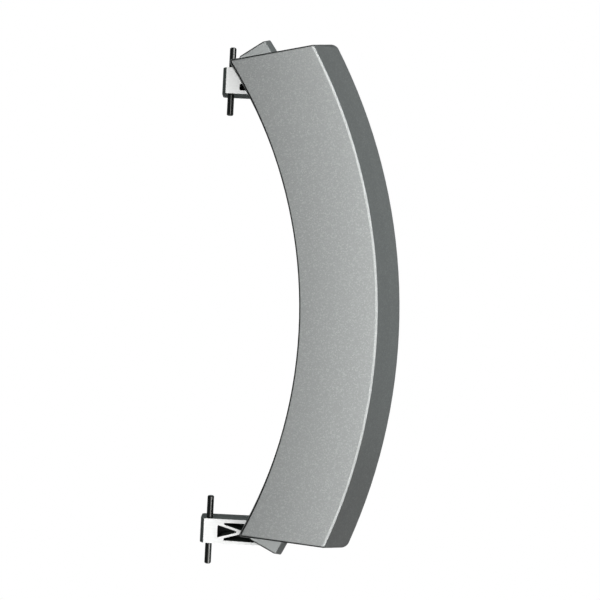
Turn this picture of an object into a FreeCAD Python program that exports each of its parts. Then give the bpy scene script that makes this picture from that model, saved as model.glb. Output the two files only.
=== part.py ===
import FreeCAD, Part
import math
import os

import Sketcher

# Washing machine door handle: a silver crescent cover, a curved rail behind it and a
# die-cast lever frame whose two arms turn on steel pins.
# Frame: +Z up along the hinge line, +X towards the grip, -Y towards the user.
# Origin: on the hinge line, at the lower arm's lower face.

os.makedirs("parts", exist_ok=True)
doc = FreeCAD.newDocument("door_handle")

# Driving sizes in millimetres and degrees: alias, value, meaning.
SIZES = [
    ("pin_diameter", 3.0, "hinge pin, free ends"),
    ("pin_length", 30.8, "hinge pin, end to end"),
    ("pin_chamfer", 0.4, "break at the pin's ends"),
    ("knurl_rise", 0.25, "pressed middle of the pin over its free ends"),
    ("arm_spacing", 203.6, "between the middles of the two arms"),
    ("lower_arm_height", 11.0, "lower arm along the hinge line"),
    ("upper_arm_height", 11.7, "upper arm along the hinge line"),
    ("arm_front", 3.4, "front face of the arms in front of the hinge line"),
    ("arm_depth", 12.0, "arms from front to back"),
    ("nose_reach", 0.62, "rounded end of the arms past a round of the front's distance"),
    ("nose_back_radius", 1.5, "rear corner of the arms' end"),
    ("arm_floor", 2.0, "metal behind the pockets of the arms"),
    ("pocket_start", 3.9, "near side of the pockets from the hinge line"),
    ("pocket_corner", 0.45, "rounded corners of the pockets"),
    ("lower_flange_top", 1.6, "strip along the lower arm's upper side"),
    ("lower_flange_bottom", 1.4, "strip along the lower arm's lower side"),
    ("lower_flange_taper", 0.3, "how much that strip thins towards the backbone"),
    ("truss_rib", 1.0, "ribs of the lower arm's V"),
    ("truss_stem", 1.7, "rib from the V to the backbone"),
    ("truss_height", 5.75, "V pocket along its upright side"),
    ("truss_length", 9.8, "V pocket from its upright side to its point"),
    ("void_start", 3.0, "pockets beside the V from the V pocket's upright side"),
    ("lower_pocket_span", 17.0, "pockets of the lower arm along the arm"),
    ("upper_flange_top", 1.75, "strip along the upper arm's upper side"),
    ("upper_flange_bottom", 1.55, "strip along the upper arm's lower side"),
    ("upper_rib", 2.5, "rib between the pockets of the upper arm"),
    ("upper_rib_drop", 0.1, "middle of that rib below the arm's middle"),
    ("upper_pocket_span", 5.6, "pockets of the upper arm along the arm"),
    ("bow_tilt", 4.05, "turn of the bow's middle line against square"),
    ("corner_reach", 7.67, "line through the cover's inner corners from the hinge line"),
    ("bow_drop", 8.8, "bow's centre below the middle of the hinge line"),
    ("centre_shift", 7.85, "centre of the outer arcs behind the inner one"),
    ("inner_radius", 205.2, "cover's inner edge"),
    ("cover_width", 34.05, "cover's face across its middle, from inner edge to ridge"),
    ("rim_lean", 11.15, "cover's rim outside its ridge"),
    ("inner_overhang", 2.23, "cover's inner corners past the middles of the arms"),
    ("outer_overhang", 8.15, "cover's outer corners past the middles of the arms"),
    ("end_lean", 3.5, "lean of the cover's ends at the inner corner"),
    ("end_twist", 2.0, "turn of the cover's end edge from face to rim"),
    ("inner_lean", -0.35, "lean of the cover's inner wall"),
    ("cover_depth", 14.5, "cover from face to rim"),
    ("cover_wall", 2.4, "cover's face and walls"),
    ("outer_wall", 2.8, "cover's leaning outer wall, measured level"),
    ("inner_corner", 1.1, "cover's two inner corners"),
    ("outer_corner", 4.1, "cover's two outer corners at the rim"),
    ("corner_start", 0.4, "cover's two outer corners at the face"),
    ("corner_miss", 0.03, "how far outside the walls the outer corners' rounding sets in"),
    ("inside_corner", 1.2, "corners of the cover's hollows, in plan"),
    ("face_round", 0.55, "rounding of the face's inner and end edges"),
    ("ridge_facet", 0.75, "narrow facet along the ridge, on the face"),
    ("facet_depth", 0.42, "narrow facet along the ridge, down the outer wall"),
    ("partition_wall", 2.2, "wall between screw chamber and finger recess"),
    ("boss_diameter", 7.4, "screw bosses in the cover"),
    ("pilot_diameter", 2.5, "pilot holes in the bosses"),
    ("pilot_depth", 9.0, "depth of the pilot holes"),
    ("cover_rib", 1.6, "ribs through the bosses"),
    ("rib_drop", 3.0, "ribs below the rim"),
    ("shell_inset", 5.3, "rail's inner wall outside the cover's inner edge"),
    ("shell_width", 13.6, "rail across its front"),
    ("shell_overhang", 6.77, "rail's inner corners past the middles of the arms"),
    ("shell_depth", 15.0, "rail from front to back"),
    ("shell_lean", 3.9, "lean of the rail's outer wall"),
    ("shell_end_lean", 2.3, "lean of the rail's ends"),
    ("shell_wall", 1.6, "rail's panel and walls"),
    ("shell_corner", 0.9, "rail's corners, in plan"),
    ("shell_break", 0.3, "break round the rail's panel"),
    ("clearance", 0.3, "gap round the frame in the rail"),
    ("web", 2.4, "backbone's front web"),
    ("backbone_wall", 1.8, "backbone's side walls"),
    ("brace", 1.4, "braces across the backbone"),
    ("brace_margin", 6.45, "angle from the rail's ends to the outermost braces"),
    ("brace_spread", 9.0, "half the width of a pair of braces"),
    ("brace_drop", 1.2, "braces below the backbone's back edge"),
    ("screw_inset", 5.9, "screws from the rail's outer edge"),
    ("screw_margin", 10.05, "angle from the rail's ends to the outermost screws"),
    ("screw_diameter", 3.0, "self-tapping screws"),
    ("screw_core", 2.4, "screw under its thread"),
    ("screw_length", 16.0, "screw under its head"),
    ("screw_hole", 3.4, "through holes for the screws"),
    ("head_diameter", 5.6, "screw heads"),
    ("head_height", 2.1, "screw heads"),
    ("head_gap", 0.3, "room round the screw heads"),
    ("seat_height", 4.0, "screw seats above the backbone's web"),
    ("seat_diameter", 7.6, "screw seats"),
    ("bite", 0.6, "how far ribs run into the walls that carry them"),
]
SCREWS = 4
BRACES = 9
FIRST_SCREW = "Sizes.bow_tilt - Places.screw_span / 2"

sizes = doc.addObject("Spreadsheet::Sheet", "Sizes")
for row, (alias, number, meaning) in enumerate(SIZES, start=1):
    sizes.set(f"A{row}", meaning)
    sizes.set(f"B{row}", str(number))
    sizes.setAlias(f"B{row}", alias)
doc.recompute()

# Places worked out from the sizes. A level is measured from the hinge line towards the
# user, along -Y. Across and rise run in the bow's own directions from its centre.
PLACES = [
    # Levels of the three layers.
    ("panel_level", "=Sizes.arm_front"),
    ("rim_level", "=panel_level + Sizes.shell_wall"),
    ("face_level", "=rim_level + Sizes.cover_depth"),
    ("ceiling_level", "=face_level - Sizes.cover_wall"),
    ("arm_back_level", "=Sizes.arm_front - Sizes.arm_depth"),
    ("shell_back_level", "=rim_level - Sizes.shell_depth"),
    ("web_level", "=Sizes.arm_front - Sizes.web"),
    ("seat_level", "=web_level - Sizes.seat_height"),
    # Hinge line and bow's centre.
    ("lower_arm_middle", "=Sizes.lower_arm_height / 2"),
    ("upper_arm_middle", "=lower_arm_middle + Sizes.arm_spacing"),
    ("upper_arm_top", "=upper_arm_middle + Sizes.upper_arm_height / 2"),
    ("upper_arm_bottom", "=upper_arm_middle - Sizes.upper_arm_height / 2"),
    ("bow_height", "=lower_arm_middle + Sizes.arm_spacing / 2 - Sizes.bow_drop"),
    ("nose_radius", "=Sizes.arm_front + Sizes.nose_reach"),
    # Cover at its face: inner corner, outer corner and slope of the end edge.
    ("face_rise", "=Sizes.arm_spacing / 2 + Sizes.inner_overhang"),
    ("inner_half_angle", "=asin(face_rise / Sizes.inner_radius) / 1 deg"),
    ("face_across", "=Sizes.inner_radius * cos(inner_half_angle)"),
    ("bow_reach", "=face_across - Sizes.corner_reach"),
    ("ridge_radius", "=Sizes.inner_radius + Sizes.cover_width + Sizes.centre_shift"),
    ("ridge_rise", "=Sizes.arm_spacing / 2 + Sizes.outer_overhang"),
    ("outer_half_angle", "=asin(ridge_rise / ridge_radius) / 1 deg"),
    ("ridge_across", "=ridge_radius * cos(outer_half_angle) - Sizes.centre_shift"),
    ("face_slope", "=atan((ridge_rise - face_rise) / (ridge_across - face_across)) / 1 deg"),
    # Cover at its rim: the walls lean outwards, the ends less and less towards the ridge.
    ("rim_radius", "=ridge_radius + Sizes.rim_lean"),
    ("rim_inner_radius", "=Sizes.inner_radius - Sizes.inner_lean"),
    ("rim_slope", "=face_slope - Sizes.end_twist"),
    ("rim_across", "=face_across - Sizes.end_lean * sin(face_slope)"),
    ("rim_rise", "=face_rise + Sizes.end_lean * cos(face_slope)"),
    # Cover's hollows at the rim and at the ceiling, one wall in from the outside.
    ("open_step", "=Sizes.end_lean - Sizes.cover_wall"),
    ("open_across", "=face_across - open_step * sin(face_slope)"),
    ("open_rise", "=face_rise + open_step * cos(face_slope)"),
    ("top_share", "=Sizes.cover_wall / Sizes.cover_depth"),
    ("top_slope", "=face_slope - top_share * Sizes.end_twist"),
    ("top_step", "=top_share * Sizes.end_lean - Sizes.cover_wall"),
    ("top_across", "=face_across - top_step * sin(face_slope)"),
    ("top_rise", "=face_rise + top_step * cos(face_slope)"),
    ("chamber_rim_radius", "=rim_inner_radius + Sizes.cover_wall"),
    ("chamber_top_radius", "=chamber_rim_radius + (1 - top_share) * Sizes.inner_lean"),
    ("shell_inner_radius", "=Sizes.inner_radius + Sizes.shell_inset"),
    ("shell_outer_radius", "=shell_inner_radius + Sizes.shell_width"),
    ("recess_inner_radius", "=shell_outer_radius - Sizes.clearance"),
    ("chamber_outer_radius", "=recess_inner_radius - Sizes.partition_wall"),
    ("recess_rim_radius", "=rim_radius - Sizes.outer_wall"),
    ("recess_top_radius", "=recess_rim_radius - (1 - top_share) * Sizes.rim_lean"),
    ("face_round", "=min(Sizes.face_round; 0.8 * Sizes.inner_corner)"),
    # Facet that takes the ridge's sharp line away.
    ("facet_start", "=ridge_radius - Sizes.ridge_facet"),
    ("facet_end", "=ridge_radius + Sizes.facet_depth * Sizes.rim_lean / Sizes.cover_depth"),
    # Outer corners: how far the end line lies from the centre of the outer arcs.
    ("end_offset", "=face_rise * cos(face_slope) - (face_across + Sizes.centre_shift) * sin(face_slope)"),
    ("end_offset_rim", "=rim_rise * cos(rim_slope) - (rim_across + Sizes.centre_shift) * sin(rim_slope)"),
    # Rail: its ends point at the bow's centre and lean outwards to the back.
    ("shell_rise", "=Sizes.arm_spacing / 2 + Sizes.shell_overhang"),
    ("shell_half_angle", "=asin(shell_rise / shell_inner_radius) / 1 deg"),
    ("shell_across", "=shell_inner_radius * cos(shell_half_angle)"),
    ("shell_back_radius", "=shell_outer_radius + Sizes.shell_lean"),
    # Rail's hollow: one wall in, where leaning walls are wider when measured level.
    ("panel_share", "=Sizes.shell_wall / Sizes.shell_depth"),
    ("side_wall", "=Sizes.shell_wall * hypot(Sizes.shell_depth; Sizes.shell_lean) / Sizes.shell_depth"),
    ("end_wall", "=Sizes.shell_wall * hypot(Sizes.shell_depth; Sizes.shell_end_lean) / Sizes.shell_depth"),
    ("hollow_inner_radius", "=shell_inner_radius + Sizes.shell_wall"),
    ("hollow_radius", "=shell_outer_radius + panel_share * Sizes.shell_lean - side_wall"),
    ("hollow_back_radius", "=shell_back_radius - side_wall"),
    ("hollow_step", "=end_wall - panel_share * Sizes.shell_end_lean"),
    # Backbone: the rail's hollow less the clearance.
    ("spine_inner_radius", "=hollow_inner_radius + Sizes.clearance"),
    ("spine_radius", "=hollow_radius - Sizes.clearance"),
    ("spine_share", "=Sizes.arm_depth / (Sizes.shell_depth - Sizes.shell_wall)"),
    ("spine_lean", "=spine_share * (hollow_back_radius - hollow_radius)"),
    ("spine_back_radius", "=spine_radius + spine_lean"),
    ("spine_cut", "=asin((hollow_step + Sizes.clearance) / spine_inner_radius) / 1 deg"),
    ("spine_half_angle", "=shell_half_angle - spine_cut"),
    # Channel in the backbone: one wall in, with braces and screw seats.
    ("channel_inner_radius", "=spine_inner_radius + Sizes.backbone_wall"),
    ("web_share", "=Sizes.web / Sizes.arm_depth"),
    ("channel_radius", "=spine_radius + web_share * spine_lean - Sizes.backbone_wall"),
    ("channel_back_radius", "=spine_back_radius - Sizes.backbone_wall"),
    ("channel_cut", "=asin(Sizes.backbone_wall / spine_inner_radius) / 1 deg"),
    ("channel_half_angle", "=spine_half_angle - channel_cut"),
    ("brace_start", "=channel_inner_radius - Sizes.bite"),
    ("brace_end", "=channel_radius + Sizes.bite"),
    ("brace_run", "=brace_end - brace_start"),
    ("brace_half", "=Sizes.brace / 2 * hypot(brace_run; Sizes.brace_spread) / brace_run"),
    ("brace_notch", "=brace_end - brace_run * brace_half / Sizes.brace_spread"),
    ("brace_span", "=2 * (shell_half_angle - Sizes.brace_margin)"),
    ("screw_radius", "=shell_outer_radius - Sizes.screw_inset"),
    ("screw_span", "=2 * (shell_half_angle - Sizes.screw_margin)"),
    # Arms run on to the outer wall of the backbone.
    ("upper_drop", "=upper_arm_top - bow_height"),
    ("upper_arm_end", "=sqrt(channel_radius ^ 2 - upper_drop ^ 2) - bow_reach"),
    ("lower_arm_end", "=sqrt(channel_radius ^ 2 - bow_height ^ 2) - bow_reach"),
    # Lower arm's V: its ribs lie along the two sides of a triangular pocket.
    ("truss_point", "=Sizes.pocket_start + Sizes.truss_length"),
    ("truss_half", "=Sizes.truss_height / 2"),
    ("truss_side", "=hypot(truss_half; Sizes.truss_length)"),
    ("truss_fork", "=truss_point + Sizes.truss_rib * truss_side / truss_half"),
    ("truss_pitch", "=truss_half / Sizes.truss_length"),
    ("stem_half", "=Sizes.truss_stem / 2"),
    ("stem_start", "=truss_fork - stem_half / truss_pitch"),
    ("void_start", "=Sizes.pocket_start + Sizes.void_start"),
    ("void_half", "=(truss_fork - void_start) * truss_pitch"),
    ("void_end", "=Sizes.pocket_start + Sizes.lower_pocket_span"),
    ("void_roof", "=Sizes.lower_arm_height - Sizes.lower_flange_top"),
    ("void_ground_end", "=Sizes.lower_flange_bottom - Sizes.lower_flange_taper"),
    # Upper arm: one pocket on each side of a rib.
    ("upper_pocket_end", "=Sizes.pocket_start + Sizes.upper_pocket_span"),
    ("upper_rib_middle", "=upper_arm_middle - Sizes.upper_rib_drop"),
    ("upper_rib_top", "=upper_rib_middle + Sizes.upper_rib / 2"),
    ("upper_rib_bottom", "=upper_rib_middle - Sizes.upper_rib / 2"),
    ("upper_roof", "=upper_arm_top - Sizes.upper_flange_top"),
    ("upper_ground", "=upper_arm_bottom + Sizes.upper_flange_bottom"),
]

places = doc.addObject("Spreadsheet::Sheet", "Places")
for row, (alias, formula) in enumerate(PLACES, start=1):
    places.set(f"A{row}", formula)
    places.setAlias(f"A{row}", alias)
doc.recompute()


def number_of(expression):
    """Number that an expression of sizes and places gives."""
    result = places.evalExpression(expression)
    return float(getattr(result, "Value", result))



def of_body(body, role):
    """One of the body's own origin planes or axes."""
    return next(item for item in body.Origin.OriginFeatures if item.Role == role)


def new_body(label):
    """Empty body for one piece."""
    body = doc.addObject("PartDesign::Body", label)
    body.Label = label
    return body


def new_sketch(body, role, right=None, up=None, level=None, turn=None, axis=(0, 0, 1)):
    """Sketch on an origin plane, moved and turned about an axis by expressions."""
    sketch = body.newObject("Sketcher::SketchObject", body.Name + "_sketch")
    sketch.AttachmentSupport = (of_body(body, role), [""])
    sketch.MapMode = "FlatFace"
    for direction, expression in (("x", right), ("y", up), ("z", level)):
        if expression:
            sketch.setExpression("AttachmentOffset.Base." + direction, expression)
    if turn:
        start = FreeCAD.Rotation(FreeCAD.Vector(*axis), number_of(turn))
        sketch.AttachmentOffset = FreeCAD.Placement(sketch.AttachmentOffset.Base, start)
        sketch.setExpression("AttachmentOffset.Rotation.Angle", turn)
    return sketch


def bow_sketch(body, level, turn="Sizes.bow_tilt"):
    """Sketch seen from the front, with its origin at the bow's centre."""
    return new_sketch(body, "XZ_Plane", "-Places.bow_reach", "Places.bow_height", level, turn)


def section_sketch(body, shift="0"):
    """Sketch in the plane of the bow's middle line and the depth.

    Its vertical axis points backwards through a centre that lies the shift behind the
    bow's own centre, so it serves as the line to turn about.
    """
    right = f"-Places.bow_reach - {shift} * cos(Sizes.bow_tilt)"
    up = f"Places.bow_height - {shift} * sin(Sizes.bow_tilt)"
    return new_sketch(body, "XY_Plane", right, None, up, "-Sizes.bow_tilt", (0, 1, 0))


def fix(sketch, kind, *where):
    """Constraint without a size."""
    sketch.addConstraint(Sketcher.Constraint(kind, *where))


def bind(sketch, kind, *where):
    """Constraint whose size follows the expression given last."""
    *where, expression = where
    number = number_of(expression)
    if kind == "Angle":
        number = math.radians(number)
    index = sketch.addConstraint(Sketcher.Constraint(kind, *where, number))
    sketch.setExpression(f"Constraints[{index}]", expression)


def arc(middle_x, middle_y, radius, start, end):
    """Arc between two directions in radians, counter-clockwise."""
    middle = FreeCAD.Vector(middle_x, middle_y, 0)
    return Part.ArcOfCircle(Part.Circle(middle, FreeCAD.Vector(0, 0, 1), radius), start, end)


def draw_circle(sketch, diameter, across="0"):
    """Circle on the sketch's horizontal axis."""
    middle = FreeCAD.Vector(number_of(across), 0, 0)
    radius = number_of(diameter) / 2
    sketch.addGeometry(Part.Circle(middle, FreeCAD.Vector(0, 0, 1), radius))
    fix(sketch, "PointOnObject", 0, 3, -1)
    bind(sketch, "DistanceX", -1, 1, 0, 3, across)
    bind(sketch, "Diameter", 0, diameter)


def draw_polygon(sketch, corners):
    """Closed run of straight edges through corners given as pairs of expressions."""
    first = sketch.GeometryCount
    spots = [FreeCAD.Vector(number_of(x), number_of(y), 0) for x, y in corners]
    following = spots[1:] + spots[:1]
    for start, end in zip(spots, following):
        sketch.addGeometry(Part.LineSegment(start, end))
    for index, (x, y) in enumerate(corners):
        edge = first + index
        before = first + (index - 1) % len(corners)
        fix(sketch, "Coincident", before, 2, edge, 1)
        bind(sketch, "DistanceX", -1, 1, edge, 1, x)
        bind(sketch, "DistanceY", -1, 1, edge, 1, y)


def draw_sector(sketch, inner, outer, shift, across, rise, slope, inner_corner, outer_corner):
    """Curved band about the horizontal axis with two mirrored ends and rounded corners.

    Its ends pass through (across, rise) at a slope, and the centre of its outer arc
    lies the shift behind the sketch's origin.
    """
    inner_r, outer_r, back = number_of(inner), number_of(outer), number_of(shift)
    point_x, point_y, lean = number_of(across), number_of(rise), math.radians(number_of(slope))
    inner_c, outer_c = number_of(inner_corner), number_of(outer_corner)
    along_x, along_y = math.cos(lean), math.sin(lean)

    def corner_middle(middle_x, reach, radius):
        """Middle of the rounding between the end line and an arc."""
        from_x = point_x + radius * along_y - middle_x
        from_y = point_y - radius * along_x
        run = from_x * along_x + from_y * along_y
        step = math.sqrt(run * run - from_x ** 2 - from_y ** 2 + reach ** 2) - run
        return middle_x + from_x + step * along_x, from_y + step * along_y

    inner_x, inner_y = corner_middle(0, inner_r + inner_c, inner_c)
    outer_x, outer_y = corner_middle(-back, outer_r - outer_c, outer_c)
    inner_angle = math.atan2(inner_y, inner_x)
    outer_angle = math.atan2(outer_y, outer_x + back)
    upright = lean + math.pi / 2
    line_start = FreeCAD.Vector(inner_x - inner_c * along_y, inner_y + inner_c * along_x, 0)
    line_end = FreeCAD.Vector(outer_x - outer_c * along_y, outer_y + outer_c * along_x, 0)
    low_start = FreeCAD.Vector(line_start.x, -line_start.y, 0)
    low_end = FreeCAD.Vector(line_end.x, -line_end.y, 0)
    turn = 2 * math.pi
    sketch.addGeometry([
        arc(-back, 0, outer_r, -outer_angle, outer_angle),
        arc(outer_x, outer_y, outer_c, outer_angle, upright),
        Part.LineSegment(line_start, line_end),
        arc(inner_x, inner_y, inner_c, upright, math.pi + inner_angle),
        arc(0, 0, inner_r, -inner_angle, inner_angle),
        arc(inner_x, -inner_y, inner_c, math.pi - inner_angle, turn - upright),
        Part.LineSegment(low_start, low_end),
        arc(outer_x, -outer_y, outer_c, turn - upright, turn - outer_angle),
    ])
    upper_mark = sketch.addGeometry(Part.Point(FreeCAD.Vector(point_x, point_y, 0)), True)
    lower_mark = sketch.addGeometry(Part.Point(FreeCAD.Vector(point_x, -point_y, 0)), True)
    for joint in ((0, 2, 1, 1), (1, 2, 2, 2), (2, 1, 3, 1), (3, 2, 4, 2)):
        fix(sketch, "Tangent", *joint)
    for joint in ((4, 1, 5, 1), (5, 2, 6, 1), (6, 2, 7, 1), (7, 2, 0, 1)):
        fix(sketch, "Tangent", *joint)
    fix(sketch, "Coincident", 4, 3, -1, 1)
    fix(sketch, "PointOnObject", 0, 3, -1)
    bind(sketch, "DistanceX", 0, 3, -1, 1, shift)
    bind(sketch, "Radius", 4, inner)
    bind(sketch, "Radius", 0, outer)
    for edge, expression in ((1, outer_corner), (7, outer_corner), (3, inner_corner), (5, inner_corner)):
        bind(sketch, "Radius", edge, expression)
    bind(sketch, "DistanceX", -1, 1, upper_mark, 1, across)
    bind(sketch, "DistanceY", -1, 1, upper_mark, 1, rise)
    bind(sketch, "DistanceX", -1, 1, lower_mark, 1, across)
    bind(sketch, "DistanceY", lower_mark, 1, -1, 1, rise)
    fix(sketch, "PointOnObject", upper_mark, 1, 2)
    fix(sketch, "PointOnObject", lower_mark, 1, 6)
    bind(sketch, "Angle", 2, slope)
    bind(sketch, "Angle", 6, f"-({slope})")


def feature(body, kind, name, sketch):
    """Solid feature of the body made from a sketch."""
    made = body.newObject("PartDesign::" + kind, name)
    made.Profile = sketch
    return made


def loft(body, kind, name, back, front):
    """Straight-sided solid between two outlines, added or taken away."""
    made = feature(body, kind, name, back)
    made.Sections = [front]
    made.Ruled = True
    doc.recompute()
    return made


def extrude(body, kind, name, sketch, length, reverse=False, both=False):
    """Pad or pocket of a length given by an expression."""
    made = feature(body, kind, name, sketch)
    made.setExpression("Length", length)
    made.Reversed = reverse
    if both:
        made.SideType = "Symmetric"
    doc.recompute()
    return made


def turn_round(body, kind, name, sketch, span):
    """Ring sector or groove about the sketch's vertical axis, even on both sides."""
    made = feature(body, kind, name, sketch)
    made.ReferenceAxis = (sketch, ["V_Axis"])
    made.setExpression("Angle", span)
    made.Midplane = True
    doc.recompute()
    return made


def spread(body, name, originals, span, count):
    """Copies of features about the bow's centre, evenly over an angle."""
    pattern = body.newObject("PartDesign::PolarPattern", name)
    pattern.Originals = originals
    pattern.Axis = (originals[0].Profile[0], ["N_Axis"])
    pattern.Occurrences = count
    pattern.setExpression("Angle", span)
    body.Tip = pattern
    doc.recompute()
    return pattern


def ease_edges(body, kind, name, wanted, size):
    """Fillet or chamfer of some edges of the body's shape so far."""
    base = body.Tip
    names = []
    for index, edge in enumerate(base.Shape.Edges, start=1):
        if any(edge.isSame(other) for other in wanted):
            names.append(f"Edge{index}")
    made = body.newObject("PartDesign::" + kind, name)
    made.Base = (base, names)
    made.setExpression("Radius" if kind == "Fillet" else "Size", size)
    doc.recompute()
    return made


def outline_edges(shape, level, radius):
    """Edges round the opening or outline at a level that has an arc of that radius."""
    for face in shape.Faces:
        box = face.BoundBox
        if box.YLength > 0.001 or abs(-box.YMin - level) > 0.001:
            continue
        for wire in face.Wires:
            arcs = [edge.Curve for edge in wire.Edges if hasattr(edge.Curve, "Radius")]
            if any(abs(curve.Radius - radius) < 0.001 for curve in arcs):
                return wire.Edges
    return []


def side_edges(shape, radius):
    """Slanting edges that start from the ends of an arc of that radius."""
    corners = []
    for edge in shape.Edges:
        if hasattr(edge.Curve, "Radius") and abs(edge.Curve.Radius - radius) < 0.001:
            corners += [vertex.Point for vertex in edge.Vertexes]
    found = []
    for edge in shape.Edges:
        ends = [vertex.Point for vertex in edge.Vertexes]
        touches = any(point.isEqual(corner, 0.001) for point in ends for corner in corners)
        if touches and edge.BoundBox.YLength > 0.001:
            found.append(edge)
    return found


def cut_end(body, name, side, across, rise, slope, front_level, back_level, lean):
    """Flat end of a bow-shaped piece, leaning outwards from front to back."""
    mark_x = f"{across} * cos(Sizes.bow_tilt) - {side} * {rise} * sin(Sizes.bow_tilt)"
    mark_z = f"{across} * sin(Sizes.bow_tilt) + {side} * {rise} * cos(Sizes.bow_tilt)"
    plane = new_sketch(
        body, "YZ_Plane", None, f"Places.bow_height + {mark_z}", f"{mark_x} - Places.bow_reach",
        f"-(Sizes.bow_tilt + {side} * {slope})", (1, 0, 0),
    )
    far = f"{side} * Sizes.inner_radius / 2"
    draw_polygon(plane, (
        (f"-({front_level})", "0"), (f"-({back_level})", f"{side} * {lean}"),
        (f"-({back_level})", far), (f"-({front_level})", far),
    ))
    return extrude(body, "Pocket", name, plane, "Sizes.inner_radius", both=True)


def draw_beyond_end(sketch, side, across, rise, slope):
    """Everything beyond an end line of the cover."""
    near, far = "(-Sizes.cover_width)", "(Sizes.cover_width + 2 * Sizes.rim_lean)"
    away = "Sizes.inner_radius / 2"
    corners = []
    for along, out in ((near, "0"), (far, "0"), (far, away), (near, away)):
        corners.append((
            f"{across} + {along} * cos({slope}) - {out} * sin({slope})",
            f"{side} * ({rise} + {along} * sin({slope}) + {out} * cos({slope}))",
        ))
    draw_polygon(sketch, corners)


def draw_corner_sliver(sketch, side, radius, corner, offset, slope):
    """What a rounding takes away between a slanting end line and the cover's outer arc.

    The end line lies the offset from the centre of the outer arc.
    """
    reach = f"({radius} + Sizes.corner_miss - {corner})"
    turn = f"({slope} + asin(({offset} + Sizes.corner_miss - {corner}) / {reach}) / 1 deg)"
    half = f"(({slope} + 90 - {turn}) / 2)"
    middle = (
        f"{reach} * cos({turn}) - Sizes.centre_shift", f"{side} * {reach} * sin({turn})",
    )

    def spot(distance, angle):
        """Coordinates at a distance and direction from the rounding's middle."""
        return (
            f"{middle[0]} + {distance} * cos({angle})",
            f"{middle[1]} + {side} * {distance} * sin({angle})",
        )

    upright = f"({slope} + 90)"
    beyond = f"({corner} + Sizes.bite)"
    corners = (
        spot(corner, turn), spot(beyond, turn),
        spot(f"{beyond} / cos({half})", f"({turn} + {half})"),
        spot(beyond, upright), spot(corner, upright),
    )
    points = [FreeCAD.Vector(number_of(x), number_of(y), 0) for x, y in corners]
    for start, end in zip(points, points[1:]):
        sketch.addGeometry(Part.LineSegment(start, end))
    low, high = sorted(side * math.radians(number_of(angle)) for angle in (turn, upright))
    middle_x, middle_y = number_of(middle[0]), number_of(middle[1])
    sketch.addGeometry(arc(middle_x, middle_y, number_of(corner), low, high))
    for index, (x, y) in enumerate(corners[:-1]):
        bind(sketch, "DistanceX", -1, 1, index, 1, x)
        bind(sketch, "DistanceY", -1, 1, index, 1, y)
    for index in (0, 1, 2):
        fix(sketch, "Coincident", index, 2, index + 1, 1)
    bind(sketch, "DistanceX", -1, 1, 4, 3, middle[0])
    bind(sketch, "DistanceY", -1, 1, 4, 3, middle[1])
    first, last = (1, 2) if side > 0 else (2, 1)
    fix(sketch, "Coincident", 4, first, 0, 1)
    fix(sketch, "Coincident", 3, 2, 4, last)
    bind(sketch, "DistanceY", -1, 1, 3, 2, corners[-1][1])


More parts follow.
